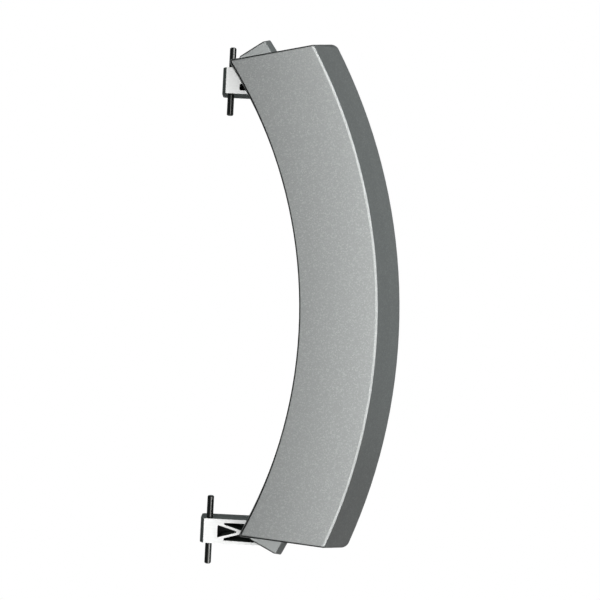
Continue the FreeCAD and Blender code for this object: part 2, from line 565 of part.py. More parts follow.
def make_front_cover():
    """Hollow crescent with a screw chamber and a recess for the fingers."""
    body = new_body("front_cover")
    section = section_sketch(body, "Sizes.centre_shift")
    draw_polygon(section, (
        ("Sizes.inner_radius", "-Places.face_level"), ("Places.facet_start", "-Places.face_level"),
        ("Places.facet_end", "Sizes.facet_depth - Places.face_level"),
        ("Places.rim_radius", "-Places.rim_level"), ("Sizes.inner_radius", "-Places.rim_level"),
    ))
    turn_round(body, "Revolution", "Crescent", section, "2.3 * Places.inner_half_angle")
    section = section_sketch(body)
    start = "Sizes.inner_radius - 2 * Sizes.centre_shift"
    draw_polygon(section, (
        (start, "-Places.face_level"), ("Sizes.inner_radius", "-Places.face_level"),
        ("Places.rim_inner_radius", "-Places.rim_level"), (start, "-Places.rim_level"),
    ))
    turn_round(body, "Groove", "InnerSide", section, "3 * Places.inner_half_angle")
    for name, side in (("UpperEnd", 1), ("LowerEnd", -1)):
        back = bow_sketch(body, "Places.rim_level")
        draw_beyond_end(back, side, "Places.rim_across", "Places.rim_rise", "Places.rim_slope")
        front = bow_sketch(body, "Places.face_level")
        draw_beyond_end(front, side, "Places.face_across", "Places.face_rise", "Places.face_slope")
        loft(body, "SubtractiveLoft", name, back, front)
    corners = side_edges(body.Tip.Shape, number_of("Sizes.inner_radius"))
    ease_edges(body, "Fillet", "InnerCorners", corners, "Sizes.inner_corner")
    ridge = number_of("Places.facet_start")
    outline = outline_edges(body.Tip.Shape, number_of("Places.face_level"), ridge)
    edges = [edge for edge in outline if abs(getattr(edge.Curve, "Radius", 0) - ridge) > 0.001]
    ease_edges(body, "Fillet", "FaceEdges", edges, "Places.face_round")
    for name, side in (("UpperCorner", 1), ("LowerCorner", -1)):
        back = bow_sketch(body, "Places.rim_level")
        draw_corner_sliver(
            back, side, "Places.rim_radius", "Sizes.outer_corner", "Places.end_offset_rim",
            "Places.rim_slope",
        )
        front = bow_sketch(body, "Places.face_level")
        draw_corner_sliver(
            front, side, "Places.ridge_radius", "Sizes.corner_start", "Places.end_offset",
            "Places.face_slope",
        )
        loft(body, "SubtractiveLoft", name, back, front)

    open_end = ("Places.open_across", "Places.open_rise", "Places.rim_slope")
    top_end = ("Places.top_across", "Places.top_rise", "Places.top_slope")
    corners = ("Sizes.inside_corner", "Sizes.inside_corner")
    opening = bow_sketch(body, "Places.rim_level")
    draw_sector(
        opening, "Places.chamber_rim_radius", "Places.chamber_outer_radius", "0",
        *open_end, *corners,
    )
    ceiling = bow_sketch(body, "Places.ceiling_level")
    draw_sector(
        ceiling, "Places.chamber_top_radius", "Places.chamber_outer_radius", "0",
        *top_end, *corners,
    )
    loft(body, "SubtractiveLoft", "ScrewChamber", opening, ceiling)
    opening = bow_sketch(body, "Places.rim_level")
    draw_sector(
        opening, "Places.recess_inner_radius", "Places.recess_rim_radius", "Sizes.centre_shift",
        *open_end, *corners,
    )
    ceiling = bow_sketch(body, "Places.ceiling_level")
    draw_sector(
        ceiling, "Places.recess_inner_radius", "Places.recess_top_radius", "Sizes.centre_shift",
        *top_end, *corners,
    )
    loft(body, "SubtractiveLoft", "FingerRecess", opening, ceiling)

    boss = bow_sketch(body, "Places.rim_level", FIRST_SCREW)
    draw_circle(boss, "Sizes.boss_diameter", "Places.screw_radius")
    boss_pad = extrude(body, "Pad", "Boss", boss, "Sizes.cover_depth - Sizes.cover_wall / 2")
    rib = bow_sketch(body, "Places.rim_level + Sizes.rib_drop", FIRST_SCREW)
    half_rib = "Sizes.cover_rib / 2"
    rib_start = "Places.chamber_rim_radius - Sizes.bite"
    rib_end = "Places.chamber_outer_radius + Sizes.bite"
    draw_polygon(rib, (
        (rib_start, f"-{half_rib}"), (rib_end, f"-{half_rib}"),
        (rib_end, half_rib), (rib_start, half_rib),
    ))
    rib_height = "Sizes.cover_depth - Sizes.cover_wall / 2 - Sizes.rib_drop"
    rib_pad = extrude(body, "Pad", "BossRib", rib, rib_height)
    spread(body, "Bosses", [boss_pad, rib_pad], "Places.screw_span", SCREWS)
    pilot = bow_sketch(body, "Places.rim_level", FIRST_SCREW)
    draw_circle(pilot, "Sizes.pilot_diameter", "Places.screw_radius")
    pilot_cut = extrude(body, "Pocket", "Pilot", pilot, "Sizes.pilot_depth", reverse=True)
    spread(body, "Pilots", [pilot_cut], "Places.screw_span", SCREWS)
    return body


def face_at(shape, level):
    """Name of the largest face at a level."""
    found = []
    for index, face in enumerate(shape.Faces, start=1):
        box = face.BoundBox
        if box.YLength < 0.001 and abs(-box.YMin - level) < 0.001:
            found.append((face.Area, f"Face{index}"))
    return max(found)[1]


def make_grip_shell():
    """Curved rail, open at the back, that takes the frame's backbone."""
    body = new_body("grip_shell")
    section = section_sketch(body)
    draw_polygon(section, (
        ("Places.shell_inner_radius", "-Places.rim_level"),
        ("Places.shell_outer_radius", "-Places.rim_level"),
        ("Places.shell_back_radius", "-Places.shell_back_level"),
        ("Places.shell_inner_radius", "-Places.shell_back_level"),
    ))
    turn_round(body, "Revolution", "Rail", section, "2.4 * Places.shell_half_angle")
    for name, side in (("UpperEnd", 1), ("LowerEnd", -1)):
        cut_end(
            body, name, side, "Places.shell_across", "Places.shell_rise",
            "Places.shell_half_angle", "Places.rim_level", "Places.shell_back_level",
            "Sizes.shell_end_lean",
        )
    back = face_at(body.Tip.Shape, number_of("Places.shell_back_level"))
    hollow = body.newObject("PartDesign::Thickness", "Hollow")
    hollow.Base = (hollow.BaseFeature, [back])
    hollow.setExpression("Value", "Sizes.shell_wall")
    hollow.Join = "Intersection"
    hollow.Reversed = True
    doc.recompute()
    for name, radius in (
        ("InnerCorners", "Places.shell_inner_radius"), ("OuterCorners", "Places.shell_outer_radius"),
    ):
        corners = side_edges(body.Tip.Shape, number_of(radius))
        ease_edges(body, "Fillet", name, corners, "Sizes.shell_corner")
    rim_level = number_of("Places.rim_level")
    panel_edges = outline_edges(body.Tip.Shape, rim_level, number_of("Places.shell_outer_radius"))
    ease_edges(body, "Chamfer", "PanelEdge", panel_edges, "Sizes.shell_break")

    hole = bow_sketch(body, "Places.rim_level", FIRST_SCREW)
    draw_circle(hole, "Sizes.screw_hole", "Places.screw_radius")
    hole_cut = extrude(body, "Pocket", "ScrewHole", hole, "Sizes.shell_wall")
    spread(body, "ScrewHoles", [hole_cut], "Places.screw_span", SCREWS)
    for name, bottom, top, end in (
        ("LowerNotch", "0", "Sizes.lower_arm_height", "Places.lower_arm_end"),
        ("UpperNotch", "Places.upper_arm_bottom", "Places.upper_arm_top", "Places.upper_arm_end"),
    ):
        notch = new_sketch(body, "XZ_Plane", level="Places.shell_back_level")
        low, high = f"{bottom} - Sizes.clearance", f"{top} + Sizes.clearance"
        right = f"{end} + Sizes.clearance"
        draw_polygon(notch, (("0", low), (right, low), (right, high), ("0", high)))
        extrude(body, "Pocket", name, notch, "Sizes.shell_depth - Sizes.shell_wall", reverse=True)
    return body


def draw_arm(sketch, end):
    """Arm seen along the hinge line: round nose at the front, small round at the back."""
    front, depth = number_of("Sizes.arm_front"), number_of("Sizes.arm_depth")
    nose, back_round = number_of("Places.nose_radius"), number_of("Sizes.nose_back_radius")
    right, back = number_of(end), depth - front
    nose_x = math.sqrt(nose ** 2 - front ** 2)
    spots = [(-nose_x, -front), (right, -front), (right, back), (back_round - nose, back)]
    spots += [(-nose, back - back_round), (-nose, 0)]
    points = [FreeCAD.Vector(x, y, 0) for x, y in spots]
    sketch.addGeometry([
        Part.LineSegment(points[0], points[1]),
        Part.LineSegment(points[1], points[2]),
        Part.LineSegment(points[2], points[3]),
        arc(back_round - nose, back - back_round, back_round, math.pi / 2, math.pi),
        Part.LineSegment(points[4], points[5]),
        arc(0, 0, nose, math.pi, math.pi + math.asin(front / nose)),
    ])
    for joint in ((0, 2, 1, 1), (1, 2, 2, 1), (5, 2, 0, 1)):
        fix(sketch, "Coincident", *joint)
    for joint in ((2, 2, 3, 1), (3, 2, 4, 1), (4, 2, 5, 1)):
        fix(sketch, "Tangent", *joint)
    for edge, direction in ((0, "Horizontal"), (1, "Vertical"), (2, "Horizontal"), (4, "Vertical")):
        fix(sketch, direction, edge)
    fix(sketch, "Coincident", 5, 3, -1, 1)
    bind(sketch, "Radius", 5, "Places.nose_radius")
    bind(sketch, "Radius", 3, "Sizes.nose_back_radius")
    bind(sketch, "DistanceY", 1, 1, -1, 1, "Sizes.arm_front")
    bind(sketch, "DistanceY", 1, 1, 1, 2, "Sizes.arm_depth")
    bind(sketch, "DistanceX", -1, 1, 1, 1, end)


def make_hinge_frame():
    """Die-cast backbone with its two arms."""
    body = new_body("hinge_frame")
    section = section_sketch(body)
    draw_polygon(section, (
        ("Places.spine_inner_radius", "-Places.panel_level"),
        ("Places.spine_radius", "-Places.panel_level"),
        ("Places.spine_back_radius", "-Places.arm_back_level"),
        ("Places.spine_inner_radius", "-Places.arm_back_level"),
    ))
    turn_round(body, "Revolution", "Backbone", section, "2 * Places.spine_half_angle")
    section = section_sketch(body)
    draw_polygon(section, (
        ("Places.channel_inner_radius", "-Places.web_level"),
        ("Places.channel_radius", "-Places.web_level"),
        ("Places.channel_back_radius", "-Places.arm_back_level"),
        ("Places.channel_inner_radius", "-Places.arm_back_level"),
    ))
    turn_round(body, "Groove", "Channel", section, "2 * Places.channel_half_angle")

    for name, middle, height, end in (
        ("LowerArm", "Places.lower_arm_middle", "Sizes.lower_arm_height", "Places.lower_arm_end"),
        ("UpperArm", "Places.upper_arm_middle", "Sizes.upper_arm_height", "Places.upper_arm_end"),
    ):
        arm = new_sketch(body, "XY_Plane", level=middle)
        draw_arm(arm, end)
        extrude(body, "Pad", name, arm, height, both=True)
    bore = new_sketch(body, "XY_Plane")
    draw_circle(bore, "Sizes.pin_diameter + 2 * Sizes.knurl_rise")
    extrude(body, "Pocket", "PinBores", bore, "4 * Sizes.arm_spacing", both=True)

    near, middle = "Sizes.pocket_start", "Places.lower_arm_middle"
    far, void = "Places.void_end", "Places.void_start"
    above, below = f"{middle} + Places.stem_half", f"{middle} - Places.stem_half"
    truss = new_sketch(body, "XZ_Plane", level="Places.panel_level")
    draw_polygon(truss, (
        (near, f"{middle} - Places.truss_half"), ("Places.truss_point", middle),
        (near, f"{middle} + Places.truss_half"),
    ))
    draw_polygon(truss, (
        (void, "Places.void_roof"), (void, f"{middle} + Places.void_half"),
        ("Places.stem_start", above), (far, above), (far, "Places.void_roof"),
    ))
    draw_polygon(truss, (
        (void, "Sizes.lower_flange_bottom"), (far, "Places.void_ground_end"), (far, below),
        ("Places.stem_start", below), (void, f"{middle} - Places.void_half"),
    ))
    extrude(body, "Pocket", "LowerTruss", truss, "Sizes.arm_depth - Sizes.arm_floor")
    end = "Places.upper_pocket_end"
    pockets = new_sketch(body, "XZ_Plane", level="Places.panel_level")
    for low, high in (
        ("Places.upper_ground", "Places.upper_rib_bottom"), ("Places.upper_rib_top", "Places.upper_roof"),
    ):
        draw_polygon(pockets, ((near, low), (end, low), (end, high), (near, high)))
    extrude(body, "Pocket", "UpperPockets", pockets, "Sizes.arm_depth - Sizes.arm_floor")
    depth = number_of("Sizes.arm_depth - Sizes.arm_floor")
    start = number_of(void)
    deep = []
    for edge in body.Tip.Shape.Edges:
        box = edge.BoundBox
        upright = box.XLength < 0.001 and box.ZLength < 0.001
        if upright and abs(box.YLength - depth) < 0.001 and abs(box.XMin - start) > 0.001:
            deep.append(edge)
    ease_edges(body, "Fillet", "PocketCorners", deep, "Sizes.pocket_corner")

    seat = bow_sketch(body, "Places.web_level", FIRST_SCREW)
    draw_circle(seat, "Sizes.seat_diameter", "Places.screw_radius")
    seat_pad = extrude(body, "Pad", "Seat", seat, "Sizes.seat_height", reverse=True)
    spread(body, "Seats", [seat_pad], "Places.screw_span", SCREWS)
    brace = bow_sketch(body, "Places.web_level", "Sizes.bow_tilt - Places.brace_span / 2")
    start, end = "Places.brace_start", "Places.brace_end"
    wide = "Sizes.brace_spread + Places.brace_half"
    narrow = "Sizes.brace_spread - Places.brace_half"
    draw_polygon(brace, (
        (start, f"-({wide})"), (end, "-Places.brace_half"), (end, "Places.brace_half"),
        (start, wide), (start, narrow), ("Places.brace_notch", "0"), (start, f"-({narrow})"),
    ))
    brace_height = "Sizes.arm_depth - Sizes.web - Sizes.brace_drop"
    brace_pad = extrude(body, "Pad", "Brace", brace, brace_height, reverse=True)
    spread(body, "Braces", [brace_pad], "Places.brace_span", BRACES)
    room = bow_sketch(body, "Places.seat_level", FIRST_SCREW)
    draw_circle(room, "Sizes.head_diameter + 2 * Sizes.head_gap", "Places.screw_radius")
    room_depth = "Sizes.arm_depth - Sizes.web - Sizes.seat_height"
    room_cut = extrude(body, "Pocket", "HeadRoom", room, room_depth)
    hole = bow_sketch(body, "Places.panel_level", FIRST_SCREW)
    draw_circle(hole, "Sizes.screw_hole", "Places.screw_radius")
    hole_cut = extrude(body, "Pocket", "ScrewHole", hole, "Sizes.arm_depth")
    spread(body, "ScrewHoles", [room_cut, hole_cut], "Places.screw_span", SCREWS)
    return body


def make_pin(label, middle, arm_height):
    """Steel hinge pin, held by its slightly thicker middle."""
    body = new_body(label)
    outline = new_sketch(body, "XZ_Plane", up=middle)
    free, held = "Sizes.pin_diameter / 2", "Sizes.pin_diameter / 2 + Sizes.knurl_rise"
    tip, half = f"{free} - Sizes.pin_chamfer", "Sizes.pin_length / 2"
    shoulder, arm = f"{half} - Sizes.pin_chamfer", f"{arm_height} / 2"
    draw_polygon(outline, (
        ("0", f"-({half})"), (tip, f"-({half})"), (free, f"-({shoulder})"), (free, f"-({arm})"),
        (held, f"-({arm})"), (held, arm), (free, arm), (free, shoulder), (tip, half), ("0", half),
    ))
    pin = feature(body, "Revolution", "Turned", outline)
    pin.ReferenceAxis = (outline, ["V_Axis"])
    doc.recompute()
    return body


def make_screw(number):
    """Self-tapping screw with a round head that is driven from behind."""
    body = new_body(f"clamp_screw_{number}")
    share = (number - 1) / (SCREWS - 1) - 0.5
    angle = f"(Sizes.bow_tilt + {share} * Places.screw_span)"
    across = f"Places.screw_radius * cos{angle} - Places.bow_reach"
    height = f"Places.screw_radius * sin{angle} + Places.bow_height"
    outline = new_sketch(body, "XY_Plane", across, None, height)
    seat = "-Places.seat_level"
    point = f"{seat} - Sizes.screw_length"
    shank_end = "Sizes.clearance - Places.rim_level"
    core, thick, head = "Sizes.screw_core / 2", "Sizes.screw_diameter / 2", "Sizes.head_diameter / 2"
    crown = f"{seat} + Sizes.head_height"
    draw_polygon(outline, (
        ("0", point), (core, point), (core, shank_end), (thick, shank_end), (thick, seat),
        (head, seat), (head, crown), ("0", crown),
    ))
    turned = feature(body, "Revolution", "Turned", outline)
    turned.ReferenceAxis = (outline, ["V_Axis"])
    doc.recompute()
    return body


pieces = [
    make_front_cover(),
    make_grip_shell(),
    make_hinge_frame(),
    make_pin("upper_hinge_pin", "Places.upper_arm_middle", "Sizes.upper_arm_height"),
    make_pin("lower_hinge_pin", "Places.lower_arm_middle", "Sizes.lower_arm_height"),
]
pieces += [make_screw(number) for number in range(1, SCREWS + 1)]

doc.recompute()
for item in doc.Objects:
    if "Invalid" in item.State or "Error" in item.State:
        raise RuntimeError(f"{item.Name} failed: {item.State}")
for piece in pieces:
    shape = piece.Shape
    if shape.isNull() or not shape.isValid() or len(shape.Solids) != 1:
        raise RuntimeError(f"{piece.Label} has no valid single solid")
for piece in pieces:
    piece.Shape.exportStep(f"parts/{piece.Label}.step")
    print(piece.Label, round(piece.Shape.Volume / 1000, 2), "cm3")
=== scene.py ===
"""Looks of a pull handle for the round door of a washing machine."""

import math

import bmesh
import bpy
from mathutils import Matrix, Vector


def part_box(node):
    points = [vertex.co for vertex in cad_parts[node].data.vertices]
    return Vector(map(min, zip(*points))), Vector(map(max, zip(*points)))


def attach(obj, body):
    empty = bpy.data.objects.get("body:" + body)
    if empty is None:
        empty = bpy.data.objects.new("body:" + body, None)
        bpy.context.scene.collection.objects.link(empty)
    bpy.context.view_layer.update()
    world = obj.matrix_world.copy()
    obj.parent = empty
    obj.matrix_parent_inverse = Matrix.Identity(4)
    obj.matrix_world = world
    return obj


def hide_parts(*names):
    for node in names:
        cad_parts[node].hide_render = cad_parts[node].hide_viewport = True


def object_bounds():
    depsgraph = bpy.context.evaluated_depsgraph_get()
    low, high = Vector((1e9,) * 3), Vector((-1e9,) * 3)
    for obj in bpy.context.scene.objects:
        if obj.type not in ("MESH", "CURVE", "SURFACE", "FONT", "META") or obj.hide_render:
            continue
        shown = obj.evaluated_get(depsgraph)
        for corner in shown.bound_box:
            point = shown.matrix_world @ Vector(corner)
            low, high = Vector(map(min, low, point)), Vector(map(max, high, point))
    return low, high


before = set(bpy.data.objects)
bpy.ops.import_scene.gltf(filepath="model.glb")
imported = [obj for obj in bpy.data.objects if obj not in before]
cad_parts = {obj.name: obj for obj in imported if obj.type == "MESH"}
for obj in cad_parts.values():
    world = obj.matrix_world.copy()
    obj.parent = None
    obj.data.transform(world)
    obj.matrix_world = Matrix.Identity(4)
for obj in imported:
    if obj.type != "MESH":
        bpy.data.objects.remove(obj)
cad_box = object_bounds()


# Hinge frame.
# A lever of die-cast zinc alloy with two arms and a backbone between them. Its fronts are
# painted almost white as a highlight, and its sides and cored pockets are painted dark as
# shade, as the satin metal mirrors a bright lamp in front and dark walls at the sides.
CAST_FRONT = -3.4             # mm, level of the fronts, which carry the painted highlight
HIGHLIGHT_FULL, HIGHLIGHT_GONE = 0.03, 0.2  # mm behind the fronts, where the painted highlight fades to painted shade


def shade(code):
    """Linear colour of an sRGB hex code."""
    parts = [int(code[i:i + 2], 16) / 255 for i in (1, 3, 5)]
    return [p / 12.92 if p <= 0.04045 else ((p + 0.055) / 1.055) ** 2.4 for p in parts] + [1.0]


def add_node(tree, kind, settings, inputs):
    """Adds a node, sets its properties, and sets or links its inputs."""
    node = tree.nodes.new(kind)
    for name, value in settings.items():
        setattr(node, name, value)
    for socket, value in inputs.items():
        if isinstance(value, bpy.types.NodeSocket):
            tree.links.new(value, node.inputs[socket])
        else:
            node.inputs[socket].default_value = value
    return node


def finish_of(name):
    """New empty material and its tree of nodes."""
    material = bpy.data.materials.new(name)
    material.use_nodes = True
    material.node_tree.nodes.clear()
    return material, material.node_tree


def part_millimetres(tree):
    """Places on the part, in mm."""
    place = add_node(tree, "ShaderNodeTexCoord", {}, {})
    return add_node(tree, "ShaderNodeVectorMath", {"operation": "SCALE"}, {
        "Vector": place.outputs["Object"], "Scale": 1000.0,
    }).outputs["Vector"]


# Painted light and shade: the casting is almost white on its fronts and dark on its sides
# and in its pockets, where it would mirror the lamp and the dark studio.
castings, tree = finish_of("die_cast_zinc")
millimetres = part_millimetres(tree)
axes = add_node(tree, "ShaderNodeSeparateXYZ", {}, {"Vector": millimetres})
# Painted highlight on the fronts, fading to painted shade within 0.2 mm behind them.
painted_light_share = add_node(tree, "ShaderNodeMapRange", {"interpolation_type": "SMOOTHSTEP"}, {
    "Value": axes.outputs["Y"],
    "From Min": CAST_FRONT + HIGHLIGHT_FULL, "From Max": CAST_FRONT + HIGHLIGHT_GONE,
    "To Min": 1.0, "To Max": 0.0,
})
# Flow marks of the die, about 3 mm long, break up the painted shade and give the relief.
flow = add_node(tree, "ShaderNodeTexNoise", {}, {
    "Vector": millimetres, "Scale": 0.35, "Detail": 5.0, "Roughness": 0.6,
})
# Painted shade on the sides and in the pockets.
painted_shade = add_node(tree, "ShaderNodeMix", {"data_type": "RGBA"}, {
    "Factor": flow.outputs["Fac"], "A": shade("#1E2321"), "B": shade("#353A38"),
})
# Belt lines run along the arms, 8 mm long and 0.25 mm apart, coarser than the real grit so
# that they show.
stretch = add_node(tree, "ShaderNodeVectorMath", {"operation": "MULTIPLY"}, {
    "Vector": millimetres, 1: (0.12, 1.0, 4.0),
})
belt = add_node(tree, "ShaderNodeTexNoise", {}, {
    "Vector": stretch.outputs["Vector"], "Scale": 1.0, "Detail": 3.0, "Roughness": 0.7,
})
# Painted highlight on the fronts.
bright = add_node(tree, "ShaderNodeMix", {"data_type": "RGBA"}, {
    "Factor": belt.outputs["Fac"], "A": shade("#BCBEBD"), "B": shade("#CECECD"),
})
colour = add_node(tree, "ShaderNodeMix", {"data_type": "RGBA"}, {
    "Factor": painted_light_share.outputs["Result"],
    "A": painted_shade.outputs["Result"], "B": bright.outputs["Result"],
})
gloss = add_node(tree, "ShaderNodeMapRange", {}, {
    "Value": painted_light_share.outputs["Result"], "To Min": 0.5, "To Max": 0.58,
})
relief = add_node(tree, "ShaderNodeBump", {}, {
    "Height": flow.outputs["Fac"], "Strength": 0.25, "Distance": 0.0001,
})
# The fronts and the sides both scatter nearly all their light, so little is metallic.
surface = add_node(tree, "ShaderNodeBsdfPrincipled", {}, {
    "Base Color": colour.outputs["Result"], "Metallic": 0.1,
    "Roughness": gloss.outputs["Result"], "Normal": relief.outputs["Normal"],
})
add_node(tree, "ShaderNodeOutputMaterial", {}, {"Surface": surface.outputs["BSDF"]})
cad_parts["hinge_frame"].material_slots[0].material = castings


# Hinge pins.
# Two 3 mm steel pins, drawn, cut, hardened and blackened, then polished by tumbling. They
# are pressed into the arms by a knurled middle, and their ends turn in the door ring.

# Tumbled black steel mirrors sharply, so a pin is dark with one narrow bright streak.
pin_steel, tree = finish_of("blackened_steel_pin")
# Drawing lines run along the pin, 3 mm long and about 0.2 mm apart.
drawn = add_node(tree, "ShaderNodeVectorMath", {"operation": "MULTIPLY"}, {
    "Vector": part_millimetres(tree), 1: (5.0, 5.0, 0.3),
})
lines = add_node(tree, "ShaderNodeTexNoise", {}, {
    "Vector": drawn.outputs["Vector"], "Scale": 1.0, "Detail": 4.0, "Roughness": 0.6,
})
colour = add_node(tree, "ShaderNodeMix", {"data_type": "RGBA"}, {
    "Factor": lines.outputs["Fac"], "A": shade("#4A4A49"), "B": shade("#6C6C6A"),
})
gloss = add_node(tree, "ShaderNodeMapRange", {}, {
    "Value": lines.outputs["Fac"], "To Min": 0.08, "To Max": 0.18,
})
surface = add_node(tree, "ShaderNodeBsdfPrincipled", {}, {
    "Base Color": colour.outputs["Result"], "Metallic": 1.0,
    "Roughness": gloss.outputs["Result"],
})
add_node(tree, "ShaderNodeOutputMaterial", {}, {"Surface": surface.outputs["BSDF"]})
for name in ("upper_hinge_pin", "lower_hinge_pin"):
    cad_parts[name].material_slots[0].material = pin_steel


# Grip rail.
# A thin channel moulded in ABS, painted light silver, and clamped between the casting and
# the cover. Its two ends, the flaps, stand out beyond the cover, and its outer side leans.
BOW_CENTRE = (-169.2, 0.0, 98.5)   # mm
RAIL_FRONT = -4.7                  # mm, level of the flaps
# Ends of a face: x and z of one corner in mm, slope in degrees, and 1 above or -1 below.
RAIL_ENDS = ((3.64, 220.0), 35.11, 1), ((19.1, 2.5), -27.01, -1)
SHEEN_FULL, SHEEN_GONE = 206.0, 215.0   # mm, from the centre of the bow, where the painted sheen is full and where it is gone
FLAKE_SHARE = 0.9                  # how metallic the paint is
EDGE_SHADE = "#121413"              # painted shade along the sharp edges, where they turn from the light
LACQUER = "#9A9A9A"                # dims what the paint mirrors at a low angle


def bow_radius(tree, millimetres):
    """Distance from the centre of the bow, in mm."""
    spoke = add_node(tree, "ShaderNodeVectorMath", {"operation": "SUBTRACT"}, {
        "Vector": millimetres, 1: BOW_CENTRE,
    })
    flat = add_node(tree, "ShaderNodeVectorMath", {"operation": "MULTIPLY"}, {
        "Vector": spoke.outputs["Vector"], 1: (1.0, 0.0, 1.0),
    })
    return add_node(tree, "ShaderNodeVectorMath", {"operation": "LENGTH"}, {
        "Vector": flat.outputs["Vector"],
    }).outputs["Value"]


def bare_inside(tree):
    """Share of bare plastic: the spray gun reaches nothing that faces back."""
    place = add_node(tree, "ShaderNodeTexCoord", {}, {})
    facing = add_node(tree, "ShaderNodeSeparateXYZ", {}, {"Vector": place.outputs["Normal"]})
    return add_node(tree, "ShaderNodeMapRange", {"interpolation_type": "SMOOTHSTEP"}, {
        "Value": facing.outputs["Y"], "From Min": 0.15, "From Max": 0.45,
    }).outputs["Result"]


def end_distance(tree, millimetres, corner, slope, side):
    """Distance from a straight end of a face, inwards, in mm."""
    turn = math.radians(slope)
    inward = Vector((math.sin(turn), 0.0, -math.cos(turn))) * side
    along = add_node(tree, "ShaderNodeVectorMath", {"operation": "DOT_PRODUCT"}, {
        "Vector": millimetres, 1: inward,
    })
    return add_node(tree, "ShaderNodeMath", {"operation": "SUBTRACT"}, {
        0: along.outputs["Value"], 1: inward.dot((corner[0], 0.0, corner[1])),
    }).outputs["Value"]


def painted_edge_shade(tree, millimetres, distances, front):
    """Share of the painted shade along the sharp edges of a face, a dark line.

    On the face it is full to 0.25 mm from an edge and gone at 0.85 mm, and on the wall
    behind the edge it is full to 0.6 mm and gone at 1.2 mm.
    """
    nearest = distances[0]
    for distance in distances[1:]:
        nearest = add_node(tree, "ShaderNodeMath", {"operation": "MINIMUM"}, {
            0: nearest, 1: distance,
        }).outputs["Value"]
    line = add_node(tree, "ShaderNodeMapRange", {"interpolation_type": "SMOOTHSTEP"}, {
        "Value": nearest, "From Min": 0.25, "From Max": 0.85, "To Min": 0.95, "To Max": 0.0,
    })
    depth = add_node(tree, "ShaderNodeSeparateXYZ", {}, {"Vector": millimetres})
    at_front = add_node(tree, "ShaderNodeMapRange", {"interpolation_type": "SMOOTHSTEP"}, {
        "Value": depth.outputs["Y"], "From Min": front + 0.6, "From Max": front + 1.2,
        "To Min": 1.0, "To Max": 0.0,
    })
    return add_node(tree, "ShaderNodeMath", {"operation": "MULTIPLY"}, {
        0: line.outputs["Result"], 1: at_front.outputs["Result"],
    }).outputs["Value"]


# Light silver paint on ABS looks pale and satin, with a grain too fine to sparkle. It is
# drawn 0.4 mm wide, so that it shows.
rail_paint, tree = finish_of("light_silver_abs")
millimetres = part_millimetres(tree)
grain = add_node(tree, "ShaderNodeTexNoise", {}, {
    "Vector": millimetres, "Scale": 2.5, "Detail": 2.0, "Roughness": 0.6,
})
paint = add_node(tree, "ShaderNodeMix", {"data_type": "RGBA"}, {
    "Factor": grain.outputs["Fac"], "A": shade("#AEB1B0"), "B": shade("#C0C3C2"),
})
# Painted sheen: the paint is drawn brightest towards the centre of the bow, as a highlight
# along the inner edge of the rail.
painted_sheen = add_node(tree, "ShaderNodeMapRange", {"interpolation_type": "SMOOTHSTEP"}, {
    "Value": bow_radius(tree, millimetres), "From Min": SHEEN_FULL, "From Max": SHEEN_GONE,
    "To Min": 1.0, "To Max": 0.0,
})
# Painted highlight mixed into the paint.
with_sheen = add_node(tree, "ShaderNodeMix", {"data_type": "RGBA"}, {
    "Factor": painted_sheen.outputs["Result"], "A": paint.outputs["Result"], "B": shade("#F4F5F4"),
})
# Painted shade: a dark line along the ends of the flaps.
edges = [end_distance(tree, millimetres, *end) for end in RAIL_ENDS]
edged = add_node(tree, "ShaderNodeMix", {"data_type": "RGBA"}, {
    "Factor": painted_edge_shade(tree, millimetres, edges, RAIL_FRONT),
    "A": with_sheen.outputs["Result"], "B": shade(EDGE_SHADE),
})
inside = bare_inside(tree)
colour = add_node(tree, "ShaderNodeMix", {"data_type": "RGBA"}, {
    "Factor": inside, "A": edged.outputs["Result"], "B": shade("#6F7271"),
})
flakes_shown = add_node(tree, "ShaderNodeMapRange", {}, {
    "Value": inside, "To Min": FLAKE_SHARE, "To Max": 0.0,
})
relief = add_node(tree, "ShaderNodeBump", {}, {
    "Height": grain.outputs["Fac"], "Strength": 0.15, "Distance": 0.00005,
})
surface = add_node(tree, "ShaderNodeBsdfPrincipled", {}, {
    "Base Color": colour.outputs["Result"], "Metallic": flakes_shown.outputs["Result"],
    "Roughness": 0.42, "Specular Tint": shade(LACQUER), "Normal": relief.outputs["Normal"],
})
add_node(tree, "ShaderNodeOutputMaterial", {}, {"Surface": surface.outputs["BSDF"]})
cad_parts["grip_shell"].material_slots[0].material = rail_paint


# Front cover.
# A crescent moulded in ABS, hollow behind and sprayed silver from the front. Four screws
# from behind pull it onto the rail and the casting.
FACE_INNER, FACE_OUTER = 205.2, 245.4   # mm, from the centre of the bow
FACE_LEVEL = -19.5                      # mm
FACE_ENDS = ((1.0, 215.0), 13.24, 1), ((15.7, 7.2), -5.17, -1)
CROWN = 1.1           # mm, how far the face falls back from its inner edge to the ridge
GRAIN_HEIGHT = 0.008  # mm
CLOUD_SHARE = 0.4     # of the clouds in the pattern of the paint

# The flakes of metallic paint lie flat, so the face is satin grey, brighter where it mirrors
# a lamp, and sparkles finely all over.
cover_paint, tree = finish_of("silver_metallic_paint")
millimetres = part_millimetres(tree)
